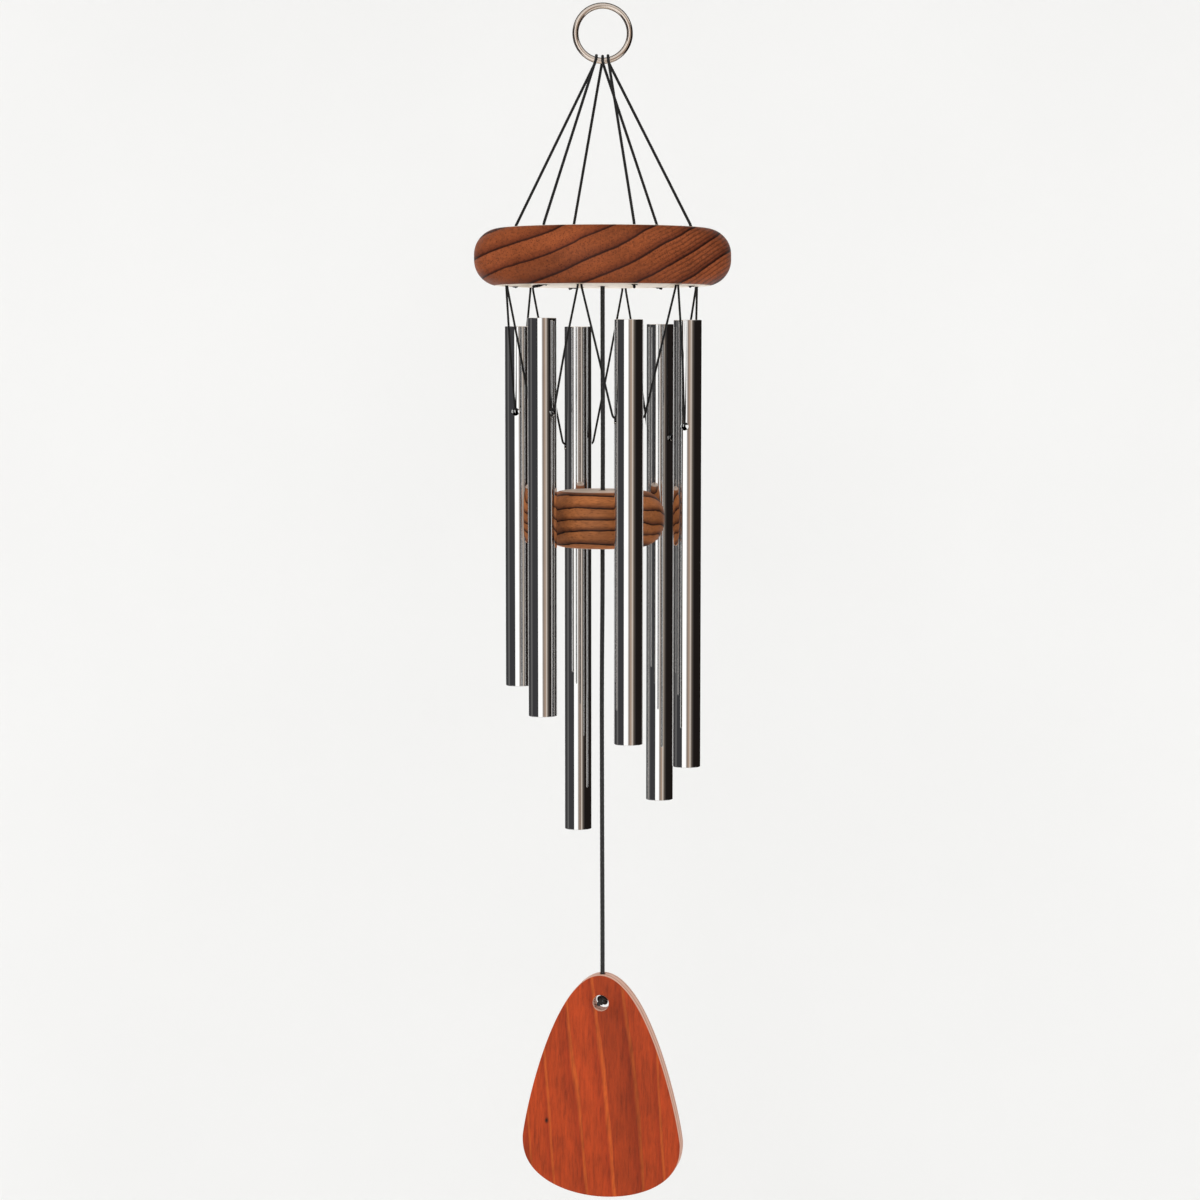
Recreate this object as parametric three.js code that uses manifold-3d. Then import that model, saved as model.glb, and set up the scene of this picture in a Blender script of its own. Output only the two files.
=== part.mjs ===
// Wind chime: a wooden top disc hung on a ring, six tubes, a striker and a sail.
// Units are mm. +Z is up, +X is to the right and +Y is away from the viewer.
// The origin is the inside top of the ring, where the hook bears.
import * as THREE from 'three';
import * as BufferGeometryUtils from 'three/addons/utils/BufferGeometryUtils.js';
import Module from 'manifold-3d';

const wasm = await Module();
wasm.setup();

// driving dimensions
const GAP = 0.3; // between pieces that touch in the real chime

const RING_OUTER_R = 15.1;
const RING_WIRE_R = 1.55;

const DISC_R = 64.5;
const DISC_THICK = 28.6;
const DISC_TOP_Z = -108.6;
const EDGE_R = 13; // rounding of the disc's and the striker's edges

const FIRST_ANGLE = 17; // of the first tube, from the front towards +X
const TUBE_CIRCLE_R = 43.6;
const TUBE_R = 7.15;
const TUBE_WALL = 1.2;
const TUBE_LENGTHS = [209, 225, 247, 263, 183, 197];
const TUBE_DROPS = [17, 17, 18.7, 19.9, 20, 16.2]; // disc underside to tube top
const CROSS_HOLE_SHARE = 0.235; // of the tube's length, from its top
const CROSS_HOLE_R = 2;

const STRING_R = 0.55;
const STRING_HOLE_R = 1.8;
const STRING_SPREAD = 0.95; // each string end from the middle of its hole
const CORD_R = 0.7; // the three suspension cords
const CORD_CIRCLE_R = 45;
const CORD_HOLE_R = 1.4;
const CORD_OFFSET = 3; // degrees from each tube to its suspension hole
const LOOP_X = [-3.1, 0, 2.7]; // where each loop hangs on the ring
const LOOP_GAP = 0.4;

const CENTRE_CORD_R = 1.1;
const CENTRE_HOLE_R = 2.45;

// each knot on the disc sits in a sink of this radius and depth
const STRING_SINK_R = 3.2;
const STRING_SINK_DEPTH = 3.4;
const CORD_SINK_R = 2.8;
const CORD_SINK_DEPTH = 2.6;
const CENTRE_SINK_R = 4.4;
const CENTRE_SINK_DEPTH = 5.6;

const STRIKER_R = 31.4;
const STRIKER_THICK = 28.6;
const STRIKER_TOP_Z = -239.8;
const STRIKER_BORE_R = 1.5;
const RECESS_R = 5;
const RECESS_DEPTH = 5.5;

const SAIL_TOP_Z = -488.6;
const SAIL_WIDE_Z = -575.5; // height of its widest place
const SAIL_BOTTOM_Z = -605;
const SAIL_HALF_WIDTH = 41.6;
const SAIL_TAPER = 1.2; // exponent of the egg curve above the widest place
const SAIL_BASE = 2.4; // exponent below it
const SAIL_THICK = 9.5;
const SAIL_TURN = -12; // degrees about +Z
const SAIL_EASE = 0.8;
const SAIL_HOLE_Z = -503;
const SAIL_HOLE_R = 4.1;
const SAIL_BORE_R = 1.5;

// worked-out dimensions
const RING_BEND_R = RING_OUTER_R - RING_WIRE_R;
const RING_CENTRE_Z = RING_WIRE_R - RING_BEND_R;
const DISC_BOTTOM_Z = DISC_TOP_Z - DISC_THICK;
const STRING_SEAT_Z = DISC_TOP_Z - STRING_SINK_DEPTH;
const CORD_SEAT_Z = DISC_BOTTOM_Z + CORD_SINK_DEPTH;
const CENTRE_SEAT_Z = DISC_TOP_Z - CENTRE_SINK_DEPTH;
const STRIKER_BOTTOM_Z = STRIKER_TOP_Z - STRIKER_THICK;
const RECESS_TOP_Z = STRIKER_BOTTOM_Z + RECESS_DEPTH;
const COUNT = TUBE_LENGTHS.length;
const STEP_ANGLE = 360 / COUNT;
// strings from these holes leave each tube hanging plumb
const STRING_CIRCLE_R = TUBE_CIRCLE_R / Math.cos(rad(STEP_ANGLE / 2));
const HALF_CHORD = STRING_CIRCLE_R * Math.sin(rad(STEP_ANGLE / 2));

const wood = (color) => material(color, 0.55, 0);
const METAL = () => material(0xc9ccd0, 0.15, 1);
const NICKEL = () => material(0xd8cfc6, 0.12, 1);
const BLACK_CORD = () => material(0x1d1d1f, 0.85, 0);
const BRAID = () => material(0x2d2d2f, 0.85, 0);

function rad(degrees) {
  return degrees * Math.PI / 180;
}

function material(color, roughness, metalness) {
  return new THREE.MeshStandardMaterial({ color, roughness, metalness });
}

// A point at an angle from the front towards +X.
function around(angle, r, z) {
  return new THREE.Vector3(r * Math.sin(rad(angle)), -r * Math.cos(rad(angle)), z);
}

function named(name, geometry, mat) {
  const mesh = new THREE.Mesh(geometry, mat);
  mesh.name = name;
  return mesh;
}

function toManifold(geometry) {
  const bare = geometry.clone();
  bare.deleteAttribute('normal');
  bare.deleteAttribute('uv');
  const merged = BufferGeometryUtils.mergeVertices(bare, 1e-4);
  return new wasm.Manifold(new wasm.Mesh({
    numProp: 3,
    vertProperties: new Float32Array(merged.attributes.position.array),
    triVerts: new Uint32Array(merged.index.array),
  }));
}

function toGeometry(manifold) {
  const mesh = manifold.getMesh();
  const geometry = new THREE.BufferGeometry();
  geometry.setAttribute('position', new THREE.BufferAttribute(mesh.vertProperties, 3));
  geometry.setIndex(new THREE.BufferAttribute(mesh.triVerts, 1));
  geometry.computeVertexNormals();
  return geometry;
}

function cut(body, tools) {
  let left = toManifold(body);
  for (const tool of tools) {
    left = left.subtract(toManifold(tool));
  }
  return toGeometry(left);
}

// A solid turned about +Z from [radius, height] pairs that start and end on the axis.
function turned(profile, segments) {
  const points = profile.map(([r, z]) => new THREE.Vector2(r, z));
  return new THREE.LatheGeometry(points, segments).rotateX(Math.PI / 2);
}

// An upright cylinder between two heights.
function drill(x, y, r, low, high, sides = 16) {
  const shape = new THREE.CylinderGeometry(r, r, high - low, sides);
  return shape.rotateX(Math.PI / 2).translate(x, y, (low + high) / 2);
}

// A path whose rings stand exactly at the given points.
class Route extends THREE.Curve {
  constructor(points) {
    super();
    this.points = points;
  }

  getPoint(t, target = new THREE.Vector3()) {
    const last = this.points.length - 1;
    const place = Math.min(t, 1) * last;
    const i = Math.min(Math.floor(place), last - 1);
    return target.lerpVectors(this.points[i], this.points[i + 1], place - i);
  }

  getPointAt(t, target) {
    return this.getPoint(t, target);
  }

  getTangentAt(t, target = new THREE.Vector3()) {
    const last = this.points.length - 1;
    const i = Math.round(t * last);
    const before = this.points[Math.max(i - 1, 0)];
    const after = this.points[Math.min(i + 1, last)];
    return target.copy(after).sub(before).normalize();
  }
}

function cord(points, r, sides = 8) {
  const section = new THREE.Shape().absarc(0, 0, r, 0, 2 * Math.PI);
  return new THREE.ExtrudeGeometry(section, {
    steps: points.length - 1,
    curveSegments: sides,
    extrudePath: new Route(points),
  });
}

// A stopper knot of three turns, from its lower end up, with a short tail.
function knot(x, y, z, r, height) {
  const turns = 3;
  const profile = [[0, 0]];
  for (let i = 0; i < turns; i += 1) {
    const low = i * height / turns;
    profile.push([0.72 * r, low + 0.02 * height]);
    profile.push([r, low + height / turns / 2]);
  }
  profile.push([0.72 * r, 0.98 * height], [0, height]);
  return turned(profile, 10).translate(x, y, z);
}

function ring() {
  const wire = new THREE.TorusGeometry(RING_BEND_R, RING_WIRE_R, 10, 40);
  return wire.rotateX(Math.PI / 2).translate(0, 0, RING_CENTRE_Z);
}

// A round plate with generously rounded edges.
function roundPlate(r, thick, topZ, segments) {
  const steps = 5;
  const profile = [[0, topZ - thick]];
  for (let i = 0; i <= steps; i += 1) {
    const a = rad(-90 + 90 * i / steps);
    profile.push([r - EDGE_R + EDGE_R * Math.cos(a), topZ - thick + EDGE_R + EDGE_R * Math.sin(a)]);
  }
  for (let i = 0; i <= steps; i += 1) {
    const a = rad(90 * i / steps);
    profile.push([r - EDGE_R + EDGE_R * Math.cos(a), topZ - EDGE_R + EDGE_R * Math.sin(a)]);
  }
  profile.push([0, topZ]);
  return turned(profile, segments);
}

function topDisc() {
  const plate = roundPlate(DISC_R, DISC_THICK, DISC_TOP_Z, 60);
  const low = DISC_BOTTOM_Z - 1;
  const high = DISC_TOP_Z + 1;
  const holes = [
    drill(0, 0, CENTRE_HOLE_R, low, high),
    drill(0, 0, CENTRE_SINK_R, CENTRE_SEAT_Z, high, 24),
  ];
  for (let i = 0; i < COUNT; i += 1) {
    const cordHole = around(cordAngle(i), CORD_CIRCLE_R, 0);
    holes.push(drill(cordHole.x, cordHole.y, CORD_HOLE_R, low, high, 12));
    holes.push(drill(cordHole.x, cordHole.y, CORD_SINK_R, low, CORD_SEAT_Z));
    const stringHole = around(stringAngle(i), STRING_CIRCLE_R, 0);
    holes.push(drill(stringHole.x, stringHole.y, STRING_HOLE_R, low, high, 12));
    holes.push(drill(stringHole.x, stringHole.y, STRING_SINK_R, STRING_SEAT_Z, high));
  }
  return cut(plate, holes);
}

function tubeAngle(i) {
  return FIRST_ANGLE + i * STEP_ANGLE;
}

function cordAngle(i) {
  return tubeAngle(i) + CORD_OFFSET;
}

function stringAngle(i) {
  return tubeAngle(i) + STEP_ANGLE / 2;
}

function tubeTop(i) {
  return DISC_BOTTOM_Z - TUBE_DROPS[i];
}

function crossHoleZ(i) {
  return tubeTop(i) - CROSS_HOLE_SHARE * TUBE_LENGTHS[i];
}

// Where the string bears on the upper side of the cross holes.
function stringZ(i) {
  return crossHoleZ(i) + CROSS_HOLE_R - STRING_R - GAP;
}

function tube(i) {
  const top = tubeTop(i);
  const bottom = top - TUBE_LENGTHS[i];
  const inner = TUBE_R - TUBE_WALL;
  const wall = new THREE.LatheGeometry([
    new THREE.Vector2(inner, bottom),
    new THREE.Vector2(TUBE_R, bottom),
    new THREE.Vector2(TUBE_R, top),
    new THREE.Vector2(inner, top),
    new THREE.Vector2(inner, bottom),
  ], 32).rotateX(Math.PI / 2);
  const across = new THREE.CylinderGeometry(CROSS_HOLE_R, CROSS_HOLE_R, 4 * TUBE_R, 12);
  across.rotateZ(Math.PI / 2).translate(0, 0, crossHoleZ(i));
  const at = around(tubeAngle(i), TUBE_CIRCLE_R, 0);
  return cut(wall, [across]).rotateZ(rad(tubeAngle(i))).translate(at.x, at.y, 0);
}

// A V from one string hole, through the tube, to the next string hole.
function tubeString(i) {
  const z = stringZ(i);
  const half = [
    [0, z],
    [TUBE_R - 0.2, z],
    [TUBE_R + 0.7, z + 0.25],
    [TUBE_R + 1.2, z + 1.2],
    [HALF_CHORD - STRING_SPREAD, DISC_BOTTOM_Z - STRING_R],
  ];
  const whole = half.slice(1).reverse().map(([u, h]) => [-u, h]).concat(half);
  const at = around(tubeAngle(i), TUBE_CIRCLE_R, 0);
  const points = whole.map(([u, h]) => new THREE.Vector3(u, 0, h));
  return cord(points, STRING_R).rotateZ(rad(tubeAngle(i))).translate(at.x, at.y, 0);
}

// One leg of a suspension cord, from the top of its loop down through the disc.
// It goes round the ring's wire until it can leave straight for its hole.
function suspensionLeg(x, side, angle) {
  const reach = RING_WIRE_R + LOOP_GAP + CORD_R;
  const wireZ = RING_CENTRE_Z - Math.sqrt(RING_BEND_R ** 2 - x ** 2);
  const hole = around(angle, CORD_CIRCLE_R, DISC_TOP_Z + 0.6);
  const drop = hole.z - wireZ;
  const leave = Math.atan2(drop, side * hole.y) + Math.acos(reach / Math.hypot(drop, hole.y));
  const points = [];
  for (const share of [0, 1 / 3, 2 / 3, 1]) {
    const a = rad(90) + share * (leave - rad(90));
    points.push(new THREE.Vector3(x, side * reach * Math.cos(a), wireZ + reach * Math.sin(a)));
  }
  points.push(hole);
  points.push(around(angle, CORD_CIRCLE_R, DISC_TOP_Z - 0.8));
  points.push(around(angle, CORD_CIRCLE_R, CORD_SEAT_Z + 0.3));
  return points;
}

// frontHole and backHole are where the legs on the ring's front and back go.
function suspensionCord(x, frontHole, backHole) {
  const front = suspensionLeg(x, -1, cordAngle(frontHole));
  const back = suspensionLeg(x, 1, cordAngle(backHole));
  return cord(front.reverse().concat(back.slice(1)), CORD_R);
}

// Half-width of the egg-shaped sail at a height.
function sailHalfWidth(z) {
  if (z < SAIL_WIDE_Z) {
    const h = (SAIL_WIDE_Z - z) / (SAIL_WIDE_Z - SAIL_BOTTOM_Z);
    return SAIL_HALF_WIDTH * Math.sqrt(Math.max(0, 1 - h ** SAIL_BASE));
  }
  const h = (z - SAIL_WIDE_Z) / (SAIL_TOP_Z - SAIL_WIDE_Z);
  return SAIL_HALF_WIDTH * Math.sqrt(Math.max(0, 1 - h ** SAIL_TAPER));
}

function sailOutline(inset) {
  const steps = 22;
  const middle = (SAIL_TOP_Z + SAIL_BOTTOM_Z) / 2;
  const half = (SAIL_TOP_Z - SAIL_BOTTOM_Z) / 2;
  const right = [];
  for (let i = 0; i <= steps; i += 1) {
    const z = middle - half * Math.cos(Math.PI * i / steps);
    right.push([sailHalfWidth(z), z]);
  }
  const left = right.slice(1, -1).reverse().map(([x, z]) => [-x, z]);
  const outline = new THREE.Shape();
  const inX = 1 - inset / SAIL_HALF_WIDTH;
  const inZ = 1 - inset / half;
  outline.setFromPoints(right.concat(left).map(([x, z]) => (
    new THREE.Vector2(x * inX, middle + (z - middle) * inZ))));
  return outline;
}

function sail() {
  const body = new THREE.ExtrudeGeometry(sailOutline(SAIL_EASE), {
    depth: SAIL_THICK - 2 * SAIL_EASE,
    bevelEnabled: true,
    bevelThickness: SAIL_EASE,
    bevelSize: SAIL_EASE,
    bevelSegments: 2,
  });
  body.rotateX(Math.PI / 2).translate(0, SAIL_THICK / 2 - SAIL_EASE, 0);
  const eye = new THREE.CylinderGeometry(SAIL_HOLE_R, SAIL_HOLE_R, 3 * SAIL_THICK, 24);
  eye.translate(0, 0, SAIL_HOLE_Z);
  const bore = drill(0, 0, SAIL_BORE_R, SAIL_HOLE_Z, SAIL_TOP_Z + 2, 12);
  return cut(body, [eye, bore]).rotateZ(rad(SAIL_TURN));
}

function striker() {
  const plate = roundPlate(STRIKER_R, STRIKER_THICK, STRIKER_TOP_Z, 48);
  const bore = drill(0, 0, STRIKER_BORE_R, STRIKER_BOTTOM_Z - 1, STRIKER_TOP_Z + 1, 12);
  const recess = drill(0, 0, RECESS_R, STRIKER_BOTTOM_Z - 1, RECESS_TOP_Z, 24);
  return cut(plate, [bore, recess]);
}

function straightCord(high, low) {
  const points = [new THREE.Vector3(0, 0, high), new THREE.Vector3(0, 0, low)];
  return cord(points, CENTRE_CORD_R, 12);
}

const chime = new THREE.Group();
chime.name = 'wind_chime';
chime.add(named('hanging_ring', ring(), NICKEL()));

const loops = [
  ['suspension_cord_left', LOOP_X[0], 5, 4],
  ['suspension_cord_middle', LOOP_X[1], 2, 3],
  ['suspension_cord_right', LOOP_X[2], 0, 1],
];
for (const [name, x, frontHole, backHole] of loops) {
  chime.add(named(name, suspensionCord(x, frontHole, backHole), BLACK_CORD()));
}

chime.add(named('top_disc', topDisc(), wood(0xa05c36)));

for (let i = 0; i < COUNT; i += 1) {
  const below = around(cordAngle(i), CORD_CIRCLE_R, 0);
  const under = knot(below.x, below.y, CORD_SEAT_Z - GAP - 2.6, 2, 2.6);
  chime.add(named(`suspension_knot_${i + 1}`, under, BLACK_CORD()));

  const hole = around(stringAngle(i), STRING_CIRCLE_R, 0);
  const over = knot(hole.x, hole.y, STRING_SEAT_Z + GAP, 2.4, 2.8);
  chime.add(named(`string_knot_${i + 1}`, over, BLACK_CORD()));

  chime.add(named(`tube_string_${i + 1}`, tubeString(i), BLACK_CORD()));
  chime.add(named(`tube_${i + 1}`, tube(i), METAL()));
}

chime.add(named('centre_top_knot', knot(0, 0, CENTRE_SEAT_Z + GAP, 3.4, 5), BRAID()));
chime.add(named('centre_cord', straightCord(CENTRE_SEAT_Z, RECESS_TOP_Z), BRAID()));
chime.add(named('striker', striker(), wood(0x8f5b33)));
chime.add(named('striker_knot', knot(0, 0, RECESS_TOP_Z - GAP - 4.2, 3, 4.2), BRAID()));
const sailCordTop = RECESS_TOP_Z - 2 * GAP - 4.2;
const sailCordBottom = SAIL_HOLE_Z + 2.6;
chime.add(named('sail_cord', straightCord(sailCordTop, sailCordBottom), BRAID()));
chime.add(named('sail', sail(), wood(0xb8562a)));
chime.add(named('sail_knot', knot(0, 0, SAIL_HOLE_Z - 2.4, 2.7, 4.6), BRAID()));

export default chime;
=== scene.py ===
"""Wind chime: a ring, three cords, a wooden top disc, six tubes, a striker and a sail.

Everything is in metres in the CAD frame: +Z up, +Y away from the camera, and the origin at the
inside top of the ring.
"""

import math

import bmesh
import bpy
import numpy as np
from mathutils import Matrix, Vector


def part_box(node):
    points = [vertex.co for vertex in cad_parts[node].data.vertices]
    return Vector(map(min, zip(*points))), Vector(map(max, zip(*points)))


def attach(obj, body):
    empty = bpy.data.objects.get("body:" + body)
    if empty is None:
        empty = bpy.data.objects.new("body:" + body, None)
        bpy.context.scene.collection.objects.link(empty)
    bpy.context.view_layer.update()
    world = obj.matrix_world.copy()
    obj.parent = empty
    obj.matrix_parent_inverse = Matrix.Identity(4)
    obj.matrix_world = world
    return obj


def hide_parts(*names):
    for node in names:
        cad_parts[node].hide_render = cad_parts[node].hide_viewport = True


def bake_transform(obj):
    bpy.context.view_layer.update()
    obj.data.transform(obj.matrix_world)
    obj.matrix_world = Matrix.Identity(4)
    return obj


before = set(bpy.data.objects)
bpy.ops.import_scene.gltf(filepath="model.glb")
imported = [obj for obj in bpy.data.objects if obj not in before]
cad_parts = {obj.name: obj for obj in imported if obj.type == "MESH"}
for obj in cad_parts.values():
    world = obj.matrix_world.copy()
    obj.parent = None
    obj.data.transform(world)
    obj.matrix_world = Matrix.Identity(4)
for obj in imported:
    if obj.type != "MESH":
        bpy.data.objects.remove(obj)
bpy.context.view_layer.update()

MM = 0.001

# the frame's own sizes
RING_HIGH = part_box("hanging_ring")[1]
DISC_LOW, DISC_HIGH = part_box("top_disc")
STRIKER_LOW, STRIKER_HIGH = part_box("striker")
SAIL_LOW, SAIL_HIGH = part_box("sail")
DISC_TOP, DISC_BOTTOM, DISC_R = DISC_HIGH[2], DISC_LOW[2], DISC_HIGH[0]
STRIKER_TOP, STRIKER_BOTTOM, STRIKER_R = STRIKER_HIGH[2], STRIKER_LOW[2], STRIKER_HIGH[0]

# the sizes that part.mjs drives the CAD with
COUNT = 6
FIRST_ANGLE, STEP_ANGLE = 17, 60
EDGE_R = 13 * MM
WIRE_R = 1.55 * MM
TUBE_CIRCLE_R = 43.6 * MM
TUBE_R, TUBE_WALL = 7.15 * MM, 1.2 * MM
CROSS_HOLE_SHARE, CROSS_HOLE_R = 0.235, 2 * MM
STRING_R, STRING_HOLE_R, STRING_SPREAD = 0.55 * MM, 1.8 * MM, 0.95 * MM
STRING_CIRCLE_R = TUBE_CIRCLE_R / math.cos(math.radians(STEP_ANGLE / 2))
HALF_CHORD = STRING_CIRCLE_R * math.sin(math.radians(STEP_ANGLE / 2))
CORD_R, CORD_CIRCLE_R, CORD_HOLE_R, CORD_OFFSET = 0.7 * MM, 45 * MM, 1.4 * MM, 3
LOOP_X, LOOP_GAP = (-3.1 * MM, 0, 2.7 * MM), 0.06 * MM
BRAID_R, CENTRE_HOLE_R = 1.1 * MM, 2.45 * MM
STRING_SINK_R, STRING_SINK_DEPTH = 3.2 * MM, 3.4 * MM
CORD_SINK_R, CORD_SINK_DEPTH = 2.8 * MM, 2.6 * MM
CENTRE_SINK_R, CENTRE_SINK_DEPTH = 4.4 * MM, 5.6 * MM
BORE_R, RECESS_R, RECESS_DEPTH = 1.5 * MM, 5 * MM, 5.5 * MM
SAIL_THICK, SAIL_TURN = 9.5 * MM, math.radians(-12)
SAIL_WIDE_Z, SAIL_HALF_WIDTH = -575.5 * MM, 41.6 * MM
SAIL_TAPER, SAIL_BASE = 1.2, 2.4
SAIL_EYE_Z, SAIL_EYE_R, SAIL_EASE = -503 * MM, 4.1 * MM, 0.9 * MM

RING_BEND_R = RING_HIGH[0] - WIRE_R
RING_CENTRE_Z = WIRE_R - RING_BEND_R
STRING_SEAT = DISC_TOP - STRING_SINK_DEPTH
CORD_SEAT = DISC_BOTTOM + CORD_SINK_DEPTH
CENTRE_SEAT = DISC_TOP - CENTRE_SINK_DEPTH
RECESS_TOP = STRIKER_BOTTOM + RECESS_DEPTH


def around(degrees, r, z):
    """A point at an angle from the front towards +X."""
    a = math.radians(degrees)
    return np.array([r * math.sin(a), -r * math.cos(a), z])


def tube_angle(i):
    return FIRST_ANGLE + i * STEP_ANGLE


def cord_angle(i):
    return tube_angle(i) + CORD_OFFSET


def string_angle(i):
    return tube_angle(i) + STEP_ANGLE / 2


# ---------------------------------------------------------------- camera

CAMERA_TILT = math.radians(5.3)
camera = bpy.data.objects.new("camera", bpy.data.cameras.new("camera"))
bpy.context.scene.collection.objects.link(camera)
camera.data.sensor_width = 36
camera.data.lens = 81.33
camera.location = (-0.0013, -1.3711, -0.1684)
camera.rotation_euler = (math.pi / 2 - CAMERA_TILT, 0, 0)
bpy.context.scene.camera = camera


# ---------------------------------------------------------------- shapes


def make_object(name, vertices, faces):
    mesh = bpy.data.meshes.new(name)
    mesh.from_pydata([tuple(v) for v in vertices], [], faces)
    mesh.validate()
    bm = bmesh.new()
    bm.from_mesh(mesh)
    bmesh.ops.recalc_face_normals(bm, faces=bm.faces)
    bm.to_mesh(mesh)
    bm.free()
    obj = bpy.data.objects.new(name, mesh)
    bpy.context.scene.collection.objects.link(obj)
    mesh.shade_smooth()
    return obj


def rounded(points, radius):
    """The route with each corner replaced by a curve that starts radius or less before it."""
    points = [np.array(p, float) for p in points]
    out = [points[0]]
    for before, corner, after in zip(points, points[1:], points[2:]):
        a, b = before - corner, after - corner
        reach = min(radius, np.linalg.norm(a) / 2, np.linalg.norm(b) / 2)
        start = corner + a / np.linalg.norm(a) * reach
        end = corner + b / np.linalg.norm(b) * reach
        for t in np.linspace(0, 1, 9):
            out.append((1 - t) ** 2 * start + 2 * t * (1 - t) * corner + t**2 * end)
    return out + [points[-1]]


def spaced(points, step):
    """The route with its points a step apart."""
    points = np.array(points)
    points = points[np.r_[True, np.linalg.norm(np.diff(points, axis=0), axis=1) > 1e-7]]
    along = np.r_[0, np.cumsum(np.linalg.norm(np.diff(points, axis=0), axis=1))]
    at = np.linspace(0, along[-1], max(3, int(along[-1] / step) + 1))
    return np.stack([np.interp(at, along, points[:, k]) for k in range(3)], axis=1)


def frames(path, closed=False):
    """Two directions across the path at each point, turned no more than the path needs."""
    after, before = np.roll(path, -1, axis=0), np.roll(path, 1, axis=0)
    if not closed:
        after[-1], before[0] = path[-1], path[0]
    tangents = after - before
    tangents /= np.linalg.norm(tangents, axis=1)[:, None]
    side = np.cross(tangents[0], (0.31, 0.83, 0.46))
    sides = []
    for t in tangents:
        side = side - (side @ t) * t
        side = side / np.linalg.norm(side)
        sides.append(side)
    sides = np.array(sides)
    return sides, np.cross(tangents, sides)


def sweep(path, r, round_points, surface, closed=False):
    """Vertices and faces of a tube. surface(turn, along) is its radius as a share of r."""
    across, up = frames(path, closed)
    along = np.r_[0, np.cumsum(np.linalg.norm(np.diff(path, axis=0), axis=1))]
    turn = np.linspace(0, 2 * math.pi, round_points, endpoint=False)
    radius = r * surface(turn[None, :], along[:, None])
    vertices = (
        path[:, None]
        + (radius * np.cos(turn))[..., None] * across[:, None]
        + (radius * np.sin(turn))[..., None] * up[:, None]
    ).reshape(-1, 3)
    rings, faces = len(path), []
    for i in range(rings if closed else rings - 1):
        for j in range(round_points):
            k, n = (j + 1) % round_points, (i + 1) % rings
            faces.append(
                (i * round_points + j, i * round_points + k, n * round_points + k, n * round_points + j)
            )
    if not closed:
        faces.append(tuple(range(round_points))[::-1])
        faces.append(tuple((rings - 1) * round_points + j for j in range(round_points)))
    return vertices, faces


def twisted(strands, pitch, depth=0.12):
    """The surface of a cord laid from twisted strands."""

    def surface(turn, along):
        phase = strands * (turn - 2 * math.pi * along / pitch) / 2
        return 1 + depth * (2 * np.abs(np.cos(phase)) - 1.27)

    return surface


def braided(carriers, pitch, depth=0.09):
    """The surface of a round braid: strands that cross both ways round."""

    def surface(turn, along):
        lay = 2 * math.pi * along / pitch
        one = np.abs(np.cos(carriers * (turn - lay) / 2))
        other = np.abs(np.cos(carriers * (turn + lay) / 2))
        return 1 + depth * (2 * np.maximum(one, other) - 1.6)

    return surface


def fused_end(centre, direction, r):
    """Vertices and faces of the small bead that a melted cord end leaves."""
    path = np.array([centre + direction * r * s for s in np.linspace(-1, 1.1, 9)])
    swell = np.sqrt(np.clip(1.02 - np.linspace(-1, 1, 9) ** 2, 0.02, 1))
    return sweep(path, 1.25 * r, 12, lambda turn, along: swell[:, None] + 0 * turn)


def joined(*shapes):
    vertices, faces, first = [], [], 0
    for v, f in shapes:
        vertices.extend(v)
        faces.extend(tuple(n + first for n in face) for face in f)
        first += len(v)
    return vertices, faces


def make_cord(name, points, r, surface, bend=2 * MM, sides=12, step=0.4 * MM):
    """A cord along a route, and the points that it follows."""
    path = spaced(rounded(points, bend), step)
    return make_object(name, *sweep(path, r, sides, surface)), path


def make_knot(name, centre, r, width, height, surface, tail, axis_turn=0.0, sides=12):
    """A tight overhand knot with a cut tail. tail is the tail's run from the knot's middle."""
    centre = np.array(centre, float)
    t = np.linspace(0, 2 * math.pi, 150, endpoint=False) + axis_turn
    out = (width / 2 - r) / 3
    path = centre + np.stack(
        [
            out * (np.sin(t) + 2 * np.sin(2 * t)),
            out * (np.cos(t) - 2 * np.cos(2 * t)),
            -(height / 2 - r) * np.sin(3 * t),
        ],
        axis=1,
    )
    wraps = sweep(path, r, sides, surface, closed=True)
    end = spaced(rounded([centre + np.array(p) for p in tail], 1.5 * MM), 0.4 * MM)
    direction = (end[-1] - end[-2]) / np.linalg.norm(end[-1] - end[-2])
    loose = sweep(end, 0.97 * r, sides, surface)
    return make_object(name, *joined(wraps, loose, fused_end(end[-1], direction, 0.8 * r)))


# ---------------------------------------------------------------- cords

THIN = twisted(3, 3.4 * MM)
STRING = twisted(3, 2.8 * MM)
BRAID = braided(8, 7.5 * MM)


def suspension_leg(x, side, hole):
    """One leg, from the top of its loop on the ring down through the disc.

    It goes round the wire until it can leave straight for its hole.
    """
    reach = WIRE_R + CORD_R + LOOP_GAP
    wire_z = RING_CENTRE_Z - math.sqrt(RING_BEND_R**2 - x**2)
    top = around(cord_angle(hole), CORD_CIRCLE_R, DISC_TOP + 0.6 * MM)
    drop = top[2] - wire_z
    leave = math.atan2(drop, side * top[1]) + math.acos(reach / math.hypot(drop, top[1]))
    points = []
    for a in np.linspace(math.pi / 2, leave, 8):
        points.append((x, side * reach * math.cos(a), wire_z + reach * math.sin(a)))
    return points + [top, around(cord_angle(hole), CORD_CIRCLE_R, CORD_SEAT - 1.6 * MM)]


cords = []
# the holes of each loop's front and back legs
LEG_HOLES = (("left", 5, 4), ("middle", 2, 3), ("right", 0, 1))
for x, (side, front, back) in zip(LOOP_X, LEG_HOLES):
    run = suspension_leg(x, -1, front)[::-1] + suspension_leg(x, 1, back)[1:]
    piece, path = make_cord(f"hanging_cord_{side}", run, CORD_R, THIN)
    cords.append((piece, path, f"suspension_cord_{side}", (front, back)))


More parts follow.
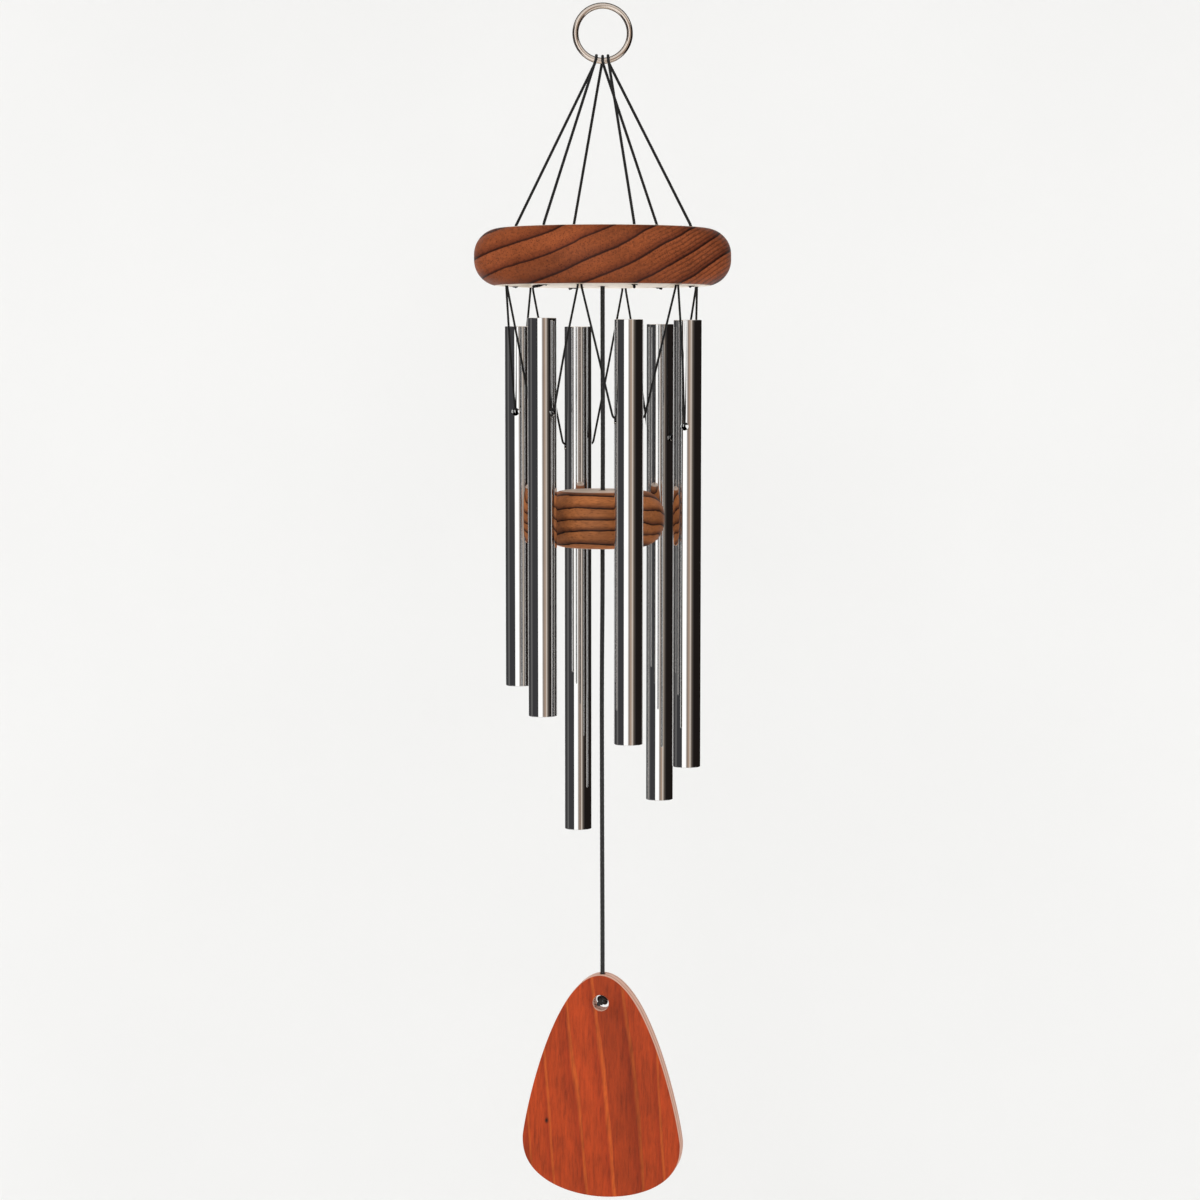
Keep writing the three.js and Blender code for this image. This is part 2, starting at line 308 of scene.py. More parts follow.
def string_z(i):
    """Height at which a string bears on the upper side of its tube's cross holes."""
    low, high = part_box(f"tube_{i + 1}")
    return high[2] - CROSS_HOLE_SHARE * (high[2] - low[2]) + CROSS_HOLE_R - STRING_R - 0.3 * MM


def tube_frame(i):
    """Where tube i stands: its centre, its direction round the circle and its direction out."""
    a = math.radians(tube_angle(i))
    centre = around(tube_angle(i), TUBE_CIRCLE_R, 0)
    return centre, np.array([math.cos(a), math.sin(a), 0]), np.array([math.sin(a), -math.cos(a), 0])


# how far the middle of each string's two sides bows out of straight
STRING_BOW = ((0.5, -0.4), (0.7, 0.9), (0.3, 0.8), (-0.6, 0.5), (0.9, 0.3), (-0.3, 0.7))


def string_route(i):
    z = string_z(i)
    centre, along, out = tube_frame(i)
    top, low = HALF_CHORD - STRING_SPREAD, TUBE_R + 1.2 * MM
    half = [
        (0, 0, z),
        (TUBE_R - 0.2 * MM, 0, z),
        (TUBE_R + 0.7 * MM, 0, z + 0.25 * MM),
        (low, 0, z + 1.2 * MM),
        None,
        (top, 0, DISC_BOTTOM - STRING_R),
        (top, 0, STRING_SEAT - 1 * MM),
        (HALF_CHORD - 0.45 * MM, 0, STRING_SEAT + 1.5 * MM),
    ]
    sides = []
    for sign, bow in zip((-1, 1), STRING_BOW[i]):
        middle = ((top + low) / 2, bow * MM, (z + DISC_BOTTOM) / 2)
        run = [middle if p is None else p for p in half]
        sides.append([centre + sign * u * along + v * out + (0, 0, h) for u, v, h in run])
    return sides[0][::-1] + sides[1][1:]


strings = []
for i in range(COUNT):
    piece, path = make_cord(f"string_{i + 1}", string_route(i), STRING_R, STRING, 1.6 * MM, 10)
    strings.append((piece, path))

CENTRE_KNOT_Z = CENTRE_SEAT + 2.8 * MM
STRIKER_KNOT_Z = RECESS_TOP - 2.6 * MM
SAIL_KNOT_Z = SAIL_EYE_Z + 0.4 * MM
centre_cord, centre_path = make_cord(
    "centre_braid",
    [(0, 0, CENTRE_KNOT_Z), (0, 0, -0.17), (0.0002, 0, -0.21), (0, 0, RECESS_TOP - 1 * MM)],
    BRAID_R,
    BRAID,
    20 * MM,
    24,
)
sail_cord, sail_path = make_cord(
    "sail_braid",
    [
        (0, 0, STRIKER_KNOT_Z),
        (0, 0, -0.29),
        (-0.0004, 0.0003, -0.34),
        (-0.0002, 0.0002, -0.42),
        (0, 0, -0.47),
        (0, 0, SAIL_KNOT_Z),
    ],
    BRAID_R,
    BRAID,
    25 * MM,
    24,
)

# ---------------------------------------------------------------- knots

# each cut tail's direction in degrees, and its reach and rise in millimetres
LOWER_TAILS = (
    (-90, 0.9, -2.3),
    (110, 1.6, -1.2),
    (-35, 1.6, -1.3),
    (160, 1.7, -1.2),
    (75, 1.6, -1),
    (185, 5, -1.9),
)
UPPER_TAILS = ((40, 2.1, 1), (-50, 2.2, 0.8), (120, 2, 0.9), (200, 2.2, 1), (10, 2.1, 0.7), (80, 2.2, 0.9))


def tail(turn, reach, rise):
    a = math.radians(turn)
    x, y = reach * MM * math.cos(a), reach * MM * math.sin(a)
    return [(0, 0, 0.2 * rise * MM), (0.35 * x, 0.35 * y, 0.75 * rise * MM), (x, y, rise * MM)]


lower_knots, upper_knots = [], []
for i in range(COUNT):
    at = around(cord_angle(i), CORD_CIRCLE_R, CORD_SEAT - 1.7 * MM)
    run, turn = tail(*LOWER_TAILS[i]), math.radians(LOWER_TAILS[i][0])
    lower_knots.append(make_knot(f"lower_knot_{i + 1}", at, CORD_R, 4.2 * MM, 2.8 * MM, THIN, run, turn))
    at = around(string_angle(i), STRING_CIRCLE_R, STRING_SEAT + 1.75 * MM)
    run, turn = tail(*UPPER_TAILS[i]), math.radians(UPPER_TAILS[i][0])
    pair = twisted(2, 4 * MM, 0.2)
    upper_knots.append(make_knot(f"upper_knot_{i + 1}", at, 0.74 * MM, 4.9 * MM, 3.0 * MM, pair, run, turn))

top_knot = make_knot(
    "centre_knot_above_disc",
    (0, 0, CENTRE_KNOT_Z),
    BRAID_R,
    7.2 * MM,
    5 * MM,
    BRAID,
    [(0, 0, 0), (1 * MM, 0.9 * MM, 1.6 * MM), (2.2 * MM, 2 * MM, 2.6 * MM)],
    0.4,
    20,
)
recess_knot = make_knot(
    "knot_in_striker",
    (0, 0, STRIKER_KNOT_Z),
    BRAID_R,
    6.4 * MM,
    4.2 * MM,
    BRAID,
    [(0, 0, 0), (-1.2 * MM, 1.4 * MM, -0.8 * MM), (-2.4 * MM, 2.6 * MM, -1.2 * MM)],
    1.1,
    20,
)
eye_knot = make_knot(
    "knot_in_sail",
    (0, 0, SAIL_KNOT_Z),
    BRAID_R,
    5.8 * MM,
    4.6 * MM,
    BRAID,
    [(0, 0, 0), (-1 * MM, -1.2 * MM, -0.4 * MM), (-2 * MM, -2.6 * MM, -1.4 * MM)],
    0.2,
    20,
)

# ---------------------------------------------------------------- wood and metal bodies


def turned(name, profile, segments, loop=False):
    """A solid turned about +Z from (radius, height) pairs, with flat ends unless it is a loop."""
    turn = np.linspace(0, 2 * math.pi, segments, endpoint=False)
    vertices = [(r * math.cos(a), r * math.sin(a), z) for r, z in profile for a in turn]
    rows = len(profile)
    faces = []
    if not loop:
        last = (rows - 1) * segments
        faces = [tuple(range(segments)), tuple(last + j for j in range(segments))]
    for i in range(rows if loop else rows - 1):
        n = (i + 1) % rows
        for j in range(segments):
            k = (j + 1) % segments
            faces.append((i * segments + j, i * segments + k, n * segments + k, n * segments + j))
    return make_object(name, vertices, faces)


def drill(x, y, r, sink_r, start, seat, end, ease=0.35 * MM, segments=32):
    """A drill for a hole of radius r from start, with a sink of radius sink_r from seat to end.

    It flares past both ends, so the hole's edges come out eased.
    """
    over, up = 3 * MM, math.copysign(1, end - start)
    profile = [
        (r + ease + over, start - up * over),
        (r + ease, start),
        (r + 0.3 * ease, start + up * 0.3 * ease),
        (r, start + up * ease),
        (r, seat),
        (sink_r, seat),
        (sink_r, end - up * ease),
        (sink_r + 0.3 * ease, end - up * 0.3 * ease),
        (sink_r + ease, end),
        (sink_r + ease + over, end + up * over),
    ]
    obj = turned("drill", profile, segments)
    obj.data.transform(Matrix.Translation((x, y, 0)))
    return obj


def straight_drill(r, start, end, ease, segments=32):
    return drill(0, 0, r, r + 0.001 * MM, start, (start + end) / 2, end, ease, segments)


def cut_away(obj, tools):
    """Takes the tools out of the piece and leaves its crisp edges sharp."""
    for tool in tools:
        change = obj.modifiers.new("cut", "BOOLEAN")
        change.operation, change.solver, change.object = "DIFFERENCE", "EXACT", tool
    evaluated = obj.evaluated_get(bpy.context.evaluated_depsgraph_get())
    mesh = bpy.data.meshes.new_from_object(evaluated)
    obj.modifiers.clear()
    obj.data = mesh
    for tool in tools:
        bpy.data.objects.remove(tool)
    mesh.shade_smooth()
    mesh.set_sharp_from_angle(angle=math.radians(35))


def plate_profile(r, low, high):
    """A round plate's half-section with its edges rounded."""
    profile = [(0.5 * (r - EDGE_R), low)]
    for a in np.radians(np.linspace(-90, 0, 22)):
        profile.append((r - EDGE_R + EDGE_R * math.cos(a), low + EDGE_R + EDGE_R * math.sin(a)))
    for a in np.radians(np.linspace(0, 90, 22)):
        profile.append((r - EDGE_R + EDGE_R * math.cos(a), high - EDGE_R + EDGE_R * math.sin(a)))
    return profile + [(0.5 * (r - EDGE_R), high)]


disc = turned("wooden_top_disc", plate_profile(DISC_R, DISC_BOTTOM, DISC_TOP), 180)
drills = [drill(0, 0, CENTRE_HOLE_R, CENTRE_SINK_R, DISC_BOTTOM, CENTRE_SEAT, DISC_TOP)]
for i in range(COUNT):
    x, y, _ = around(cord_angle(i), CORD_CIRCLE_R, 0)
    drills.append(drill(x, y, CORD_HOLE_R, CORD_SINK_R, DISC_TOP, CORD_SEAT, DISC_BOTTOM))
    x, y, _ = around(string_angle(i), STRING_CIRCLE_R, 0)
    drills.append(drill(x, y, STRING_HOLE_R, STRING_SINK_R, DISC_BOTTOM, STRING_SEAT, DISC_TOP))
cut_away(disc, drills)

striker = turned("wooden_striker", plate_profile(STRIKER_R, STRIKER_BOTTOM, STRIKER_TOP), 144)
cut_away(striker, [drill(0, 0, BORE_R, RECESS_R, STRIKER_TOP, RECESS_TOP, STRIKER_BOTTOM)])


def sail_half_width(z):
    low, high = SAIL_LOW[2], SAIL_HIGH[2]
    if z < SAIL_WIDE_Z:
        h, power = (SAIL_WIDE_Z - z) / (SAIL_WIDE_Z - low), SAIL_BASE
    else:
        h, power = (z - SAIL_WIDE_Z) / (high - SAIL_WIDE_Z), SAIL_TAPER
    return SAIL_HALF_WIDTH * math.sqrt(max(0, 1 - min(1, h) ** power))


def make_sail():
    """The egg outline, with eased edges, drilled and turned to its place."""
    low, high = SAIL_LOW[2], SAIL_HIGH[2]
    heights = (low + high) / 2 - (high - low) / 2 * np.cos(np.linspace(0, math.pi, 120))
    right = [(sail_half_width(z), z) for z in heights]
    outline = np.array(right + [(-x, z) for x, z in right[-2:0:-1]])
    ahead, behind = np.roll(outline, -1, axis=0), np.roll(outline, 1, axis=0)
    tangent = ahead - behind
    tangent /= np.linalg.norm(tangent, axis=1)[:, None]
    inward = np.stack([-tangent[:, 1], tangent[:, 0]], axis=1)
    rows, half = [], SAIL_THICK / 2
    for a in np.radians(np.linspace(0, 90, 7)):
        rows.append((SAIL_EASE * (1 - math.sin(a)), -half + SAIL_EASE * (1 - math.cos(a))))
    rows += [(inset, -y) for inset, y in rows[::-1]]
    vertices, n = [], len(outline)
    for inset, y in rows:
        shape = outline + inward * inset
        vertices.extend((x, y, z) for x, z in shape)
    faces = [tuple(range(n)), tuple((len(rows) - 1) * n + j for j in range(n))[::-1]]
    for i in range(len(rows) - 1):
        for j in range(n):
            k = (j + 1) % n
            faces.append((i * n + j, i * n + k, (i + 1) * n + k, (i + 1) * n + j))
    obj = make_object("wooden_sail", vertices, faces)
    eye = straight_drill(SAIL_EYE_R, -half, half, 0.5 * MM, 48)
    eye.data.transform(Matrix.Translation((0, 0, SAIL_EYE_Z)) @ Matrix.Rotation(math.pi / 2, 4, "X"))
    bore = straight_drill(BORE_R, SAIL_EYE_Z, high, 0.3 * MM, 24)
    cut_away(obj, [eye, bore])
    obj.data.transform(Matrix.Rotation(SAIL_TURN, 4, "Z"))
    return obj


sail = make_sail()


def make_tube(i):
    """A tube with eased rims and two drilled cross holes, shaded as a true cylinder."""
    low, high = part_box(f"tube_{i + 1}")
    bottom, top = low[2], high[2]
    ease, inner = 0.22 * MM, TUBE_R - TUBE_WALL
    rim = [(1 - math.cos(a), 1 - math.sin(a)) for a in np.radians((0, 30, 60, 90))]
    profile = [(TUBE_R - ease * u, bottom + ease * v) for u, v in rim[::-1]]
    profile += [(TUBE_R - ease * u, top - ease * v) for u, v in rim]
    profile += [(inner + ease * u, top - ease * v) for u, v in rim[::-1]]
    profile += [(inner + ease * u, bottom + ease * v) for u, v in rim]
    obj = turned(f"polished_tube_{i + 1}", profile, 96, loop=True)
    z = top - CROSS_HOLE_SHARE * (top - bottom)
    across = straight_drill(CROSS_HOLE_R, -1.01 * TUBE_R, 1.01 * TUBE_R, 0.2 * MM, 40)
    across.data.transform(Matrix.Translation((0, 0, z)) @ Matrix.Rotation(math.pi / 2, 4, "Y"))
    cut_away(obj, [across])
    mesh = obj.data
    normals = [Vector(n.vector) for n in mesh.corner_normals]
    for face in mesh.polygons:
        out = Vector((face.center.x, face.center.y, 0)).normalized()
        facing = face.normal.dot(out)
        if abs(facing) > 0.98:
            for corner in face.loop_indices:
                v = mesh.vertices[mesh.loops[corner].vertex_index].co
                normals[corner] = Vector((v.x, v.y, 0)).normalized() * (1 if facing > 0 else -1)
    mesh.normals_split_custom_set(normals)
    centre, _, _ = tube_frame(i)
    place = Matrix.Translation(Vector(centre)) @ Matrix.Rotation(
        math.radians(tube_angle(i)), 4, "Z"
    )
    mesh.transform(place)
    return obj


tubes = [make_tube(i) for i in range(COUNT)]


def make_ring():
    """A wire ring bent round and closed by a small ground weld."""
    turn = np.linspace(0, 2 * math.pi, 180, endpoint=False)
    path = np.stack(
        [RING_BEND_R * np.sin(turn), 0 * turn, RING_CENTRE_Z - RING_BEND_R * np.cos(turn)], axis=1
    )
    weld = 2 * math.pi * RING_BEND_R * 0.06

    def surface(around_wire, along):
        bead = np.exp(-(((along - weld) / (0.7 * MM)) ** 2))
        return 1 - 0.012 * bead * (1 + np.cos(3 * around_wire)) + 0 * along

    return make_object("wire_ring", *sweep(path, WIRE_R, 36, surface, closed=True))


ring = make_ring()

# ---------------------------------------------------------------- materials


def new_material(name):
    material = bpy.data.materials.new(name)
    material.use_nodes = True
    tree = material.node_tree
    return material, tree, tree.nodes["Principled BSDF"]


def add(tree, kind, inputs=None, **settings):
    """A node with its settings made and its inputs set or linked."""
    node = tree.nodes.new(kind)
    for key, value in settings.items():
        setattr(node, key, value)
    for key, value in (inputs or {}).items():
        if isinstance(value, bpy.types.NodeSocket):
            tree.links.new(value, node.inputs[key])
        else:
            node.inputs[key].default_value = value
    return node


def math_node(tree, operation, a, b=0.0):
    return add(tree, "ShaderNodeMath", {0: a, 1: b}, operation=operation).outputs[0]


def noise(tree, vector, scale, detail=3.0, roughness=0.5, stretch=(1, 1, 1)):
    if stretch != (1, 1, 1):
        mapped = add(tree, "ShaderNodeMapping", {"Vector": vector, "Scale": stretch})
        vector = mapped.outputs[0]
    node = add(
        tree,
        "ShaderNodeTexNoise",
        {"Vector": vector, "Scale": scale, "Detail": detail, "Roughness": roughness},
    )
    return node.outputs["Fac"]


def ramp(tree, value, stops):
    """A colour ramp through (position, colour) stops."""
    node = add(tree, "ShaderNodeValToRGB", {"Fac": value})
    elements = node.color_ramp.elements
    while len(elements) < len(stops):
        elements.new(0.5)
    for element, (at, colour) in zip(elements, stops):
        element.position = at
        element.color = (*colour, 1)
    return node.outputs["Color"]


def grey(value):
    return (value, value, value)


def mix(tree, factor, a, b, mode="MIX"):
    node = tree.nodes.new("ShaderNodeMix")
    node.data_type, node.blend_type = "RGBA", mode
    for socket, value in ((node.inputs[0], factor), (node.inputs[6], a), (node.inputs[7], b)):
        if isinstance(value, bpy.types.NodeSocket):
            tree.links.new(value, socket)
        elif isinstance(value, tuple):
            socket.default_value = (*value, 1)
        else:
            socket.default_value = value
    return node.outputs[2]


def vector_math(tree, operation, a, b=(0, 0, 0)):
    node = add(tree, "ShaderNodeVectorMath", {0: a, 1: b}, operation=operation)
    return node.outputs["Value" if operation in ("LENGTH", "DOT_PRODUCT") else "Vector"]


def map_range(tree, value, low, high):
    inputs = {"Value": value, "From Min": low, "From Max": high}
    return add(tree, "ShaderNodeMapRange", inputs).outputs[0]


def wood(name, heart, across, spacing, colours, grain, waver, pores, hatch_from=None, coat=0.04):
    """Oiled wood.

    heart is a point on the log's axis, and across keeps the two directions over the log.
    spacing is a year's growth. grain squeezes the texture's direction along the fibres.
    """
    light, dark, line = colours
    material, tree, shader = new_material(name)
    at = add(tree, "ShaderNodeTexCoord").outputs["Object"]
    over = vector_math(tree, "MULTIPLY", vector_math(tree, "SUBTRACT", at, heart), across)
    years = math_node(tree, "DIVIDE", vector_math(tree, "LENGTH", over), spacing)
    wander = noise(tree, at, 30, 2.0, 0.5, grain)
    ripple = noise(tree, at, 240, 3.0, 0.6, grain)
    years = math_node(tree, "ADD", years, math_node(tree, "MULTIPLY", wander, 4 * waver))
    years = math_node(tree, "ADD", years, math_node(tree, "MULTIPLY", ripple, 0.4 * waver))
    within = math_node(tree, "FRACT", years)
    growth = ramp(
        tree, within, [(0, light), (0.5, light), (0.84, dark), (0.92, line), (0.965, line), (1, light)]
    )

    # years differ in depth of colour
    whole = math_node(tree, "FLOOR", years)
    per_year = add(tree, "ShaderNodeTexWhiteNoise", {"W": whole}, noise_dimensions="1D").outputs[0]
    depth = ramp(tree, per_year, [(0, grey(0.74)), (1, grey(1.2))])
    colour = mix(tree, 1.0, growth, depth, "MULTIPLY")

    if hatch_from is not None:
        lines = math_node(tree, "FRACT", math_node(tree, "MULTIPLY", years, 5))
        hatch = ramp(tree, lines, [(0, grey(0.95)), (0.5, grey(0.85)), (0.82, grey(0.36)), (1, grey(0.95))])
        x = add(tree, "ShaderNodeSeparateXYZ", {0: at}).outputs["X"]
        where = map_range(tree, x, hatch_from, hatch_from + 0.035)
        colour = mix(tree, where, colour, mix(tree, 1.0, colour, hatch, "MULTIPLY"))

    fibres = noise(tree, at, 700, 4.0, 0.75, grain)
    fibre_shade = ramp(tree, fibres, [(0.3, grey(0.55)), (0.5, grey(1)), (0.75, grey(1.35))])
    colour = mix(tree, 0.8, colour, fibre_shade, "MULTIPLY")
    blotch = ramp(tree, noise(tree, at, 45, 3.0), [(0.3, grey(0.8)), (0.7, grey(1.15))])
    colour = mix(tree, 0.8, colour, blotch, "MULTIPLY")

    # open pores, longer along the fibres
    stretched = add(tree, "ShaderNodeMapping", {"Vector": at, "Scale": grain}).outputs[0]
    cells = add(tree, "ShaderNodeTexVoronoi", {"Vector": stretched, "Scale": 1100.0})
    open_pore = ramp(tree, cells.outputs["Distance"], [(0.16, grey(0)), (0.34, grey(1))])
    colour = mix(tree, pores, colour, mix(tree, open_pore, line, colour))
    tree.links.new(colour, shader.inputs["Base Color"])

    gloss = ramp(tree, fibres, [(0.2, grey(0.46)), (0.8, grey(0.62))])
    tree.links.new(gloss, shader.inputs["Roughness"])
    height = math_node(tree, "ADD", math_node(tree, "MULTIPLY", fibres, 0.6), open_pore)
    height = math_node(tree, "ADD", height, math_node(tree, "MULTIPLY", within, -0.35))
    bump = add(tree, "ShaderNodeBump", {"Height": height, "Strength": 0.35, "Distance": 0.00012})
    tree.links.new(bump.outputs[0], shader.inputs["Normal"])
    shader.inputs["Specular IOR Level"].default_value = 0.16
    shader.inputs["Coat Weight"].default_value = coat
    shader.inputs["Coat Roughness"].default_value = 0.3
    return material, tree, shader, colour


def put(obj, material):
    obj.data.materials.clear()
    obj.data.materials.append(material)


def show_raw_and_sheen_faces(tree, shader, colour, paleness):
    """The flat top and underside are paler than the rest: the disc's have no oil on them, and the striker's
    paler top is in part a painted sheen.
    """
    normal = add(tree, "ShaderNodeTexCoord").outputs["Normal"]
    flat = math_node(tree, "ABSOLUTE", vector_math(tree, "DOT_PRODUCT", normal, (0, 0, 1)))
    # the flat faces, painted paler: bare wood, and on the striker a painted sheen
    bare_and_sheen_mask = ramp(tree, flat, [(0.974, grey(0)), (0.984, grey(1))])
    lightness = add(tree, "ShaderNodeRGBToBW", {"Color": colour}).outputs[0]
    grain = ramp(tree, lightness, [(0.01, (0.72, 0.60, 0.46)), (0.07, (0.95, 0.88, 0.78))])
    raw_wood_and_highlight = mix(tree, paleness, colour, grain)
    tree.links.new(mix(tree, bare_and_sheen_mask, colour, raw_wood_and_highlight), shader.inputs["Base Color"])


disc_wood, disc_tree, disc_shader, disc_colour = wood(
    "disc_wood",
    heart=(-0.14, 0.0, DISC_TOP + 0.285),
    across=(1, 0.12, 1),
    spacing=0.0098,
    colours=((0.285, 0.067, 0.018), (0.165, 0.034, 0.010), (0.040, 0.008, 0.003)),
    grain=(1, 0.2, 1),
    waver=0.12,
    pores=0.65,
    hatch_from=0.008,
)
show_raw_and_sheen_faces(disc_tree, disc_shader, disc_colour, 0.9)
put(disc, disc_wood)

striker_wood, striker_tree, striker_shader, striker_colour = wood(
    "striker_wood",
    heart=(0.02, 0.03, STRIKER_TOP + 0.13),
    across=(0.12, 0.6, 1),
    spacing=0.0058,
    colours=((0.40, 0.135, 0.042), (0.125, 0.037, 0.013), (0.014, 0.004, 0.002)),
    grain=(0.2, 1, 1),
    waver=0.6,
    pores=0.35,
)
# the striker's paler flat faces are in part a painted sheen
show_raw_and_sheen_faces(striker_tree, striker_shader, striker_colour, 0.5)
put(striker, striker_wood)

sail_wood, sail_tree, sail_shader, sail_colour = wood(
    "sail_wood",
    heart=(-0.4, 0.12, -0.94),
    across=(1, 1, 0.3),
    spacing=0.0135,
    colours=((0.42, 0.050, 0.009), (0.34, 0.036, 0.007), (0.49, 0.082, 0.013)),
    grain=(1, 1, 0.12),
    waver=0.3,
    pores=0.12,
)


# a small dark pin knot on the sail's face, before the sail is turned
PIN_KNOT = (-0.0285, -SAIL_THICK / 2, -0.5662)


def show_sail_edge_and_highlight():
    """The sail's edge is raw and paler, with thin lines of grain along it; in part the paleness is a
    painted highlight on the eased rim.
    """
    tree = sail_tree
    at = add(tree, "ShaderNodeTexCoord").outputs["Object"]
    normal = add(tree, "ShaderNodeTexCoord").outputs["Normal"]
    through = (math.sin(SAIL_TURN), -math.cos(SAIL_TURN), 0)
    facing = math_node(tree, "ABSOLUTE", vector_math(tree, "DOT_PRODUCT", normal, through))
    # the edge band painted paler: raw wood in part, and in part a painted highlight
    edge_and_highlight_mask = ramp(tree, facing, [(0.35, grey(1)), (0.75, grey(0))])
    layers = math_node(tree, "MULTIPLY", vector_math(tree, "DOT_PRODUCT", at, through), 230)
    layers = math_node(tree, "ADD", layers, math_node(tree, "MULTIPLY", noise(tree, at, 60), 0.8))
    layers = math_node(tree, "FRACT", layers)
    pale, brown = (0.74, 0.46, 0.36), (0.40, 0.18, 0.12)
    raw_wood_and_highlight = ramp(tree, layers, [(0, pale), (0.6, (0.64, 0.38, 0.29)), (0.88, brown), (1, pale)])
    colour = mix(tree, edge_and_highlight_mask, sail_colour, raw_wood_and_highlight)

    # one small pin knot on the face
    spot = Matrix.Rotation(SAIL_TURN, 4, "Z") @ Vector(PIN_KNOT)
    offset = vector_math(tree, "MULTIPLY", vector_math(tree, "SUBTRACT", at, tuple(spot)), (1, 0.1, 0.6))
    near = math_node(tree, "MULTIPLY", vector_math(tree, "LENGTH", offset), 1000)
    near = math_node(tree, "ADD", near, math_node(tree, "MULTIPLY", noise(tree, at, 900), 0.9))
    pin = ramp(tree, math_node(tree, "DIVIDE", near, 4), [(0.2, grey(1)), (0.42, grey(0))])
    colour = mix(tree, pin, colour, (0.035, 0.01, 0.006))
    tree.links.new(colour, sail_shader.inputs["Base Color"])


show_sail_edge_and_highlight()
put(sail, sail_wood)


def polished_metal(name, colour, roughness, wear):
    """Polished metal with faint smudges of handling."""
    material, tree, shader = new_material(name)
    at = add(tree, "ShaderNodeTexCoord").outputs["Object"]
    shader.inputs["Metallic"].default_value = 1
    smudge = noise(tree, at, 70, 3.0, 0.5)
    tone = ramp(tree, smudge, [(0.35, tuple(0.96 * c for c in colour)), (0.65, colour)])
    tree.links.new(tone, shader.inputs["Base Color"])
    clean, worn = grey(roughness), grey(roughness + wear)
    gloss = ramp(tree, smudge, [(0.42, clean), (0.62, worn), (0.8, clean)])
    tree.links.new(gloss, shader.inputs["Roughness"])
    return material


tube_metal = polished_metal("tube_aluminium", (0.90, 0.90, 0.90), 0.012, 0.01)
ring_metal = polished_metal("ring_nickel", (0.80, 0.70, 0.62), 0.14, 0.08)
for tube in tubes:
    put(tube, tube_metal)
put(ring, ring_metal)


def fibre(name, dark, light, scale, fleck=None):
    """Dyed thread: soft sheen, fine filaments and pale flecks."""
    material, tree, shader = new_material(name)
    at = add(tree, "ShaderNodeTexCoord").outputs["Object"]
    threads = noise(tree, at, scale, 3.0, 0.7)
    colour = ramp(tree, threads, [(0.3, dark), (0.75, light)])
    if fleck:
        cells = add(tree, "ShaderNodeTexVoronoi", {"Vector": at, "Scale": 1300.0})
        spots = ramp(tree, cells.outputs["Distance"], [(0.12, grey(1)), (0.26, grey(0))])
        colour = mix(tree, math_node(tree, "MULTIPLY", spots, 0.6), colour, fleck)
    tree.links.new(colour, shader.inputs["Base Color"])
    bump = add(tree, "ShaderNodeBump", {"Height": threads, "Strength": 0.5, "Distance": 0.00008})
    tree.links.new(bump.outputs[0], shader.inputs["Normal"])
    shader.inputs["Roughness"].default_value = 0.8
    shader.inputs["Specular IOR Level"].default_value = 0.25
    shader.inputs["Sheen Weight"].default_value = 0.12
    shader.inputs["Sheen Roughness"].default_value = 0.4
    return material


thin_cord = fibre("thin_cord", grey(0.004), grey(0.022), 3200)
braid_cord = fibre("braided_cord", grey(0.010), grey(0.05), 2600, (0.2, 0.2, 0.2))

# ---------------------------------------------------------------- what moves with what

for piece, path, node, ends in cords:
    put(piece, thin_cord)
    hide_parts(node)
    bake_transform(piece)

for i, (piece, path) in enumerate(strings):
    put(piece, thin_cord)
    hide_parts(f"tube_string_{i + 1}")
    x, y, _ = tube_frame(i)[0]
    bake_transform(piece)

for piece, path, node, body, knot in (
    (centre_cord, centre_path, "centre_cord", "striker", top_knot),
    (sail_cord, sail_path, "sail_cord", "sail_cord", eye_knot),
):
    put(piece, braid_cord)
    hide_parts(node)
    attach(piece, body)

for i in range(COUNT):
    for knot, node in ((lower_knots[i], "suspension_knot"), (upper_knots[i], "string_knot")):
        put(knot, thin_cord)
        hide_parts(f"{node}_{i + 1}")
        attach(knot, "disc")
    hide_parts(f"tube_{i + 1}")
    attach(tubes[i], f"tube_{i + 1}")

for piece, node, body in (
    (top_knot, "centre_top_knot", "centre_knot"),
    (recess_knot, "striker_knot", "striker_knot"),
    (eye_knot, "sail_knot", "sail"),
):
    put(piece, braid_cord)
    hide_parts(node)
    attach(piece, body)

for piece, node, body in (
    (ring, "hanging_ring", "ring"),
    (disc, "top_disc", "disc"),
    (striker, "striker", "striker"),
    (sail, "sail", "sail"),
):
    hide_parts(node)
    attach(piece, body)

# ---------------------------------------------------------------- studio


def studio_floor():
    """A pale floor well below the chime that curves up into a pale wall."""
    floor_z, wall_y, bend = -1.9, 2.6, 1.2
    side = [(-4.0, floor_z)]
    for a in np.radians(np.linspace(-90, 0, 16)):
        side.append((wall_y - bend + bend * math.cos(a), floor_z + bend + bend * math.sin(a)))
    side.append((wall_y, 4.0))
    vertices = [(x, y, z) for y, z in side for x in (-5.0, 5.0)]
    faces = [(2 * i, 2 * i + 1, 2 * i + 3, 2 * i + 2) for i in range(len(side) - 1)]
    obj = make_object("studio_floor", vertices, faces)
    material, tree, shader = new_material("studio_paint")
    at = add(tree, "ShaderNodeTexCoord").outputs["Object"]
    tone = ramp(tree, noise(tree, at, 2.0), [(0.3, grey(0.86)), (0.7, grey(0.88))])
    tree.links.new(tone, shader.inputs["Base Color"])
    shader.inputs["Roughness"].default_value = 0.9
    obj.data.materials.append(material)


def card(name, vertices, faces, colour):
    """A glowing card that only glossy surfaces see: a painted reflection, not a lamp."""
    obj = make_object(name, vertices, faces)
    material, _, shader = new_material(name)
    shader.inputs["Base Color"].default_value = (0, 0, 0, 1)
    shader.inputs["Specular IOR Level"].default_value = 0
    shader.inputs["Emission Color"].default_value = (*colour, 1)
    shader.inputs["Emission Strength"].default_value = 1
    obj.data.materials.append(material)
    for ray in ("camera", "diffuse", "shadow", "transmission"):
        setattr(obj, f"visible_{ray}", False)
